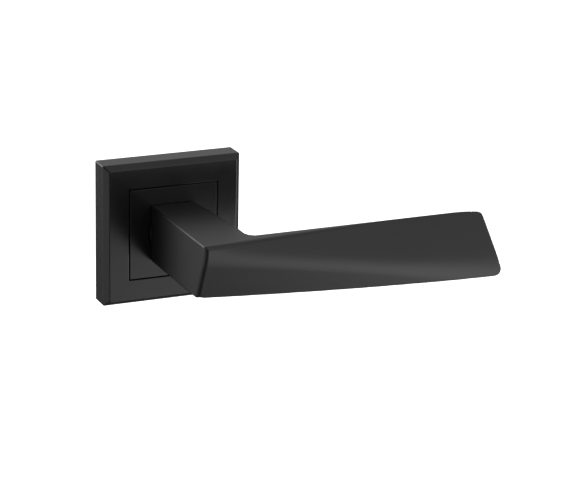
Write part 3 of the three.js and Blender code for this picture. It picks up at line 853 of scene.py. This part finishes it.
def near_edges(links, nodes):
    """1 at an edge and 0 on flat and gently curved ground, whatever the mesh."""
    softened = nodes.new("ShaderNodeBevel")
    softened.samples = 4
    softened.inputs["Radius"].default_value = EDGE_REACH * MM
    facing = nodes.new("ShaderNodeVectorMath")
    facing.operation = "DOT_PRODUCT"
    links.new(softened.outputs["Normal"], facing.inputs[0])
    links.new(nodes.new("ShaderNodeNewGeometry").outputs["Normal"], facing.inputs[1])
    return mapped(links, nodes, facing.outputs["Value"], 0, 1, (0.99, 0.86))


def finish(name, dark, light, rough, metallic, grain, edge_wear_and_sheen, stretch=(1, 1, 1)):
    """A worked surface.

    dark and light are the two colours it drifts between, rough the lowest and highest roughness,
    grain the fine bump's features a metre and its height in metres, and the edge argument the colour,
    roughness and strength of lighter edges: rubbed wear on metal, partly wear and partly a painted
    highlight on black paint.
    """
    material, nodes, links, shader = new_material(name)
    place = nodes.new("ShaderNodeTexCoord").outputs["Object"]
    drift = noise(links, nodes, place, DRIFT_SCALE, 4)
    patches = noise(links, nodes, place, PATCH_SCALE, 3, stretch)
    fine = noise(links, nodes, place, grain[0], 2, stretch)
    # Mask for lighter edges: rubbed wear, and on the black paint also a painted highlight along the
    # edges
    edge_wear_and_sheen_mask = nodes.new("ShaderNodeMath")
    edge_wear_and_sheen_mask.operation = "MULTIPLY"
    links.new(near_edges(links, nodes), edge_wear_and_sheen_mask.inputs[0])
    links.new(mapped(links, nodes, patches, 0, edge_wear_and_sheen[2], (0.35, 0.6)), edge_wear_and_sheen_mask.inputs[1])
    tone = nodes.new("ShaderNodeMix")
    tone.data_type = "RGBA"
    tone.inputs["A"].default_value = (*dark, 1)
    tone.inputs["B"].default_value = (*light, 1)
    links.new(drift, tone.inputs["Factor"])
    # Edge colour: wear on metal parts, partly a painted highlight on the black paint
    edge_wear_and_sheen_colour = nodes.new("ShaderNodeMix")
    edge_wear_and_sheen_colour.data_type = "RGBA"
    edge_wear_and_sheen_colour.inputs["B"].default_value = (*edge_wear_and_sheen[0], 1)
    links.new(edge_wear_and_sheen_mask.outputs[0], edge_wear_and_sheen_colour.inputs["Factor"])
    links.new(tone.outputs["Result"], edge_wear_and_sheen_colour.inputs["A"])
    links.new(edge_wear_and_sheen_colour.outputs["Result"], shader.inputs["Base Color"])
    roughness = nodes.new("ShaderNodeMix")
    roughness.inputs["B"].default_value = edge_wear_and_sheen[1]
    links.new(edge_wear_and_sheen_mask.outputs[0], roughness.inputs["Factor"])
    links.new(mapped(links, nodes, patches, *rough, (0.3, 0.7)), roughness.inputs["A"])
    links.new(roughness.outputs["Result"], shader.inputs["Roughness"])
    bump = nodes.new("ShaderNodeBump")
    bump.inputs["Distance"].default_value = grain[1]
    bump.inputs["Strength"].default_value = 0.6
    links.new(fine, bump.inputs["Height"])
    links.new(bump.outputs["Normal"], shader.inputs["Normal"])
    shader.inputs["Metallic"].default_value = metallic
    return material


def painted(pieces, material):
    """Gives some pieces one material in place of any they have."""
    for piece in pieces:
        piece.data.materials.clear()
        piece.data.materials.append(material)


def grey(value):
    return (value, value, value)


# Lighter, glossier edges on the black paint: partly wear, partly a painted highlight along the edges
black_edge_wear_and_sheen = (grey(0.02), 0.25, 0.4)
black_rose = finish(
    "black_rose",
    dark=grey(0.011),
    light=grey(0.014),
    rough=(0.235, 0.255),
    metallic=0,
    grain=(2600, 1.2e-6),
    edge_wear_and_sheen=black_edge_wear_and_sheen,
)
black_lever = finish(
    "black_lever",
    dark=grey(0.009),
    light=grey(0.012),
    rough=(0.355, 0.375),
    metallic=0,
    grain=(2600, 1.2e-6),
    edge_wear_and_sheen=black_edge_wear_and_sheen,
)
zinc_casting = finish(
    "zinc_casting",
    dark=grey(0.36),
    light=(0.5, 0.51, 0.52),
    rough=(0.42, 0.6),
    metallic=1,
    grain=(900, 3e-5),
    edge_wear_and_sheen=(grey(0.7), 0.3, 0.9),
)
plated_steel = finish(
    "plated_steel",
    dark=(0.5, 0.51, 0.52),
    light=(0.66, 0.67, 0.68),
    rough=(0.24, 0.4),
    metallic=1,
    grain=(1500, 1e-5),
    edge_wear_and_sheen=(grey(0.8), 0.2, 0.8),
    stretch=(1, 1, 0.08),
)
spring_steel = finish(
    "spring_steel",
    dark=grey(0.2),
    light=(0.34, 0.335, 0.33),
    rough=(0.26, 0.42),
    metallic=1,
    grain=(2000, 8e-6),
    edge_wear_and_sheen=(grey(0.55), 0.2, 0.8),
)
blackened_steel = finish(
    "blackened_steel",
    dark=grey(0.025),
    light=grey(0.05),
    rough=(0.34, 0.5),
    metallic=1,
    grain=(1800, 8e-6),
    edge_wear_and_sheen=(grey(0.3), 0.3, 0.9),
)
nylon = finish(
    "nylon",
    dark=grey(0.022),
    light=grey(0.035),
    rough=(0.48, 0.62),
    metallic=0,
    grain=(700, 1.5e-5),
    edge_wear_and_sheen=(grey(0.06), 0.4, 0.6),
)

painted([cover, insert], black_rose)
painted([casting], black_lever)
painted([base_plate], zinc_casting)
painted([back_plate, driver, washer, spindle, *posts, *screws], plated_steel)
painted([spring, circlip, *clips], spring_steel)
painted([grub_screw], blackened_steel)
painted([bush], nylon)


# ---------------------------------------------------------------- stage, light and camera


FLOOR_DROP = -500
COVE_REACH = 6000
COVE_CURVE = 2500
COVE_TOP = 7000
COVE_HOLE = 1
COVE_GLOW = 0.98
COVE_AROUND = 48
COVE_STEPS = 8

# Each softbox: name, azimuth from the front towards the right, elevation, half-angle (all in
# degrees) and strength
SOFTBOXES = (
    ("right_front", 60, -25, 45, 3.0),
    ("front_high", 30, 40, 45, 0.8),
    ("left", -95, -10, 45, 0.7),
    ("left_back", -142, 14, 35, 2.8),
    ("back_high", 150, 50, 50, 0.7),
)
AMBIENT = 0.08


def make_cove():
    """A pale floor that curves up into a pale wall and ceiling. The studio's light comes through it."""
    inside = COVE_REACH - COVE_CURVE
    profile = [(COVE_HOLE, FLOOR_DROP), (inside, FLOOR_DROP)]
    for k in range(1, COVE_STEPS + 1):
        angle = math.pi / 2 * k / COVE_STEPS
        rise = COVE_CURVE * (1 - math.cos(angle))
        profile.append((inside + COVE_CURVE * math.sin(angle), FLOOR_DROP + rise))
    profile += [(COVE_REACH, COVE_TOP), (COVE_HOLE, COVE_TOP)]
    angles = [TURN * k / COVE_AROUND for k in range(COVE_AROUND)]
    rings = [[(r * math.cos(a), r * math.sin(a), z) for a in angles] for r, z in profile]
    cove = skin("cove", rings)
    material, nodes, links, shader = new_material("cove_paint")
    shader.inputs["Base Color"].default_value = (0.9, 0.9, 0.9, 1)
    shader.inputs["Roughness"].default_value = 0.9
    shader.inputs["Emission Color"].default_value = (1, 1, 1, 1)
    shader.inputs["Emission Strength"].default_value = COVE_GLOW
    cove.data.materials.append(material)
    cove.visible_glossy = False
    cove.visible_diffuse = False
    cove.visible_shadow = False


def towards(azimuth, elevation):
    """The direction at an azimuth from the front (-Y) towards the right (+X), and an elevation."""
    a, e = math.radians(azimuth), math.radians(elevation)
    return (math.sin(a) * math.cos(e), -math.cos(a) * math.cos(e), math.sin(e))


def make_studio():
    """Soft light from broad softboxes in a dim room."""
    world = bpy.data.worlds.new("studio")
    bpy.context.scene.world = world
    world.use_nodes = True
    nodes, links = world.node_tree.nodes, world.node_tree.links
    place = nodes.new("ShaderNodeTexCoord")
    total = nodes.new("ShaderNodeValue")
    total.name = "ambient"
    total.outputs[0].default_value = AMBIENT
    total = total.outputs[0]
    for name, azimuth, elevation, reach, strength in SOFTBOXES:
        facing = nodes.new("ShaderNodeVectorMath")
        facing.operation = "DOT_PRODUCT"
        facing.inputs[1].default_value = towards(azimuth, elevation)
        links.new(place.outputs["Generated"], facing.inputs[0])
        glow = nodes.new("ShaderNodeMapRange")
        glow.name = name
        glow.interpolation_type = "SMOOTHSTEP"
        glow.inputs["From Min"].default_value = math.cos(math.radians(reach))
        glow.inputs["From Max"].default_value = math.cos(math.radians(reach / 4))
        glow.inputs["To Max"].default_value = strength
        links.new(facing.outputs["Value"], glow.inputs["Value"])
        both = nodes.new("ShaderNodeMath")
        links.new(total, both.inputs[0])
        links.new(glow.outputs["Result"], both.inputs[1])
        total = both.outputs[0]
    nodes["Background"].inputs["Color"].default_value = (1, 1, 1, 1)
    links.new(total, nodes["Background"].inputs["Strength"])


CAMERA_AIM = Vector((38.06, -30, -6.13)) * MM
CAMERA_AZIMUTH = math.radians(24.25)
CAMERA_ELEVATION = math.radians(18.25)
CAMERA_ROLL = math.radians(1.22)
CAMERA_DISTANCE = 0.9
CAMERA_LENS = 154.73


def make_camera():
    """A long lens aimed at the handle from its left and above, turned slightly about its own axis."""
    data = bpy.data.cameras.new("camera")
    data.lens = CAMERA_LENS
    data.sensor_width = 36
    data.clip_start = 0.01
    data.clip_end = 50
    camera = bpy.data.objects.new("camera", data)
    a, e = CAMERA_AZIMUTH, CAMERA_ELEVATION
    ahead = Vector((math.sin(a) * math.cos(e), math.cos(a) * math.cos(e), -math.sin(e)))
    level = Vector((math.cos(a), -math.sin(a), 0))
    upright = level.cross(ahead)
    right = level * math.cos(CAMERA_ROLL) + upright * math.sin(CAMERA_ROLL)
    up = upright * math.cos(CAMERA_ROLL) - level * math.sin(CAMERA_ROLL)
    place = CAMERA_AIM - ahead * CAMERA_DISTANCE
    camera.matrix_world = Matrix(
        [
            (right.x, up.x, -ahead.x, place.x),
            (right.y, up.y, -ahead.y, place.y),
            (right.z, up.z, -ahead.z, place.z),
            (0, 0, 0, 1),
        ]
    )
    bpy.context.scene.collection.objects.link(camera)
    bpy.context.scene.camera = camera


make_cove()
make_studio()
make_camera()
bpy.context.scene.view_settings.view_transform = "Standard"
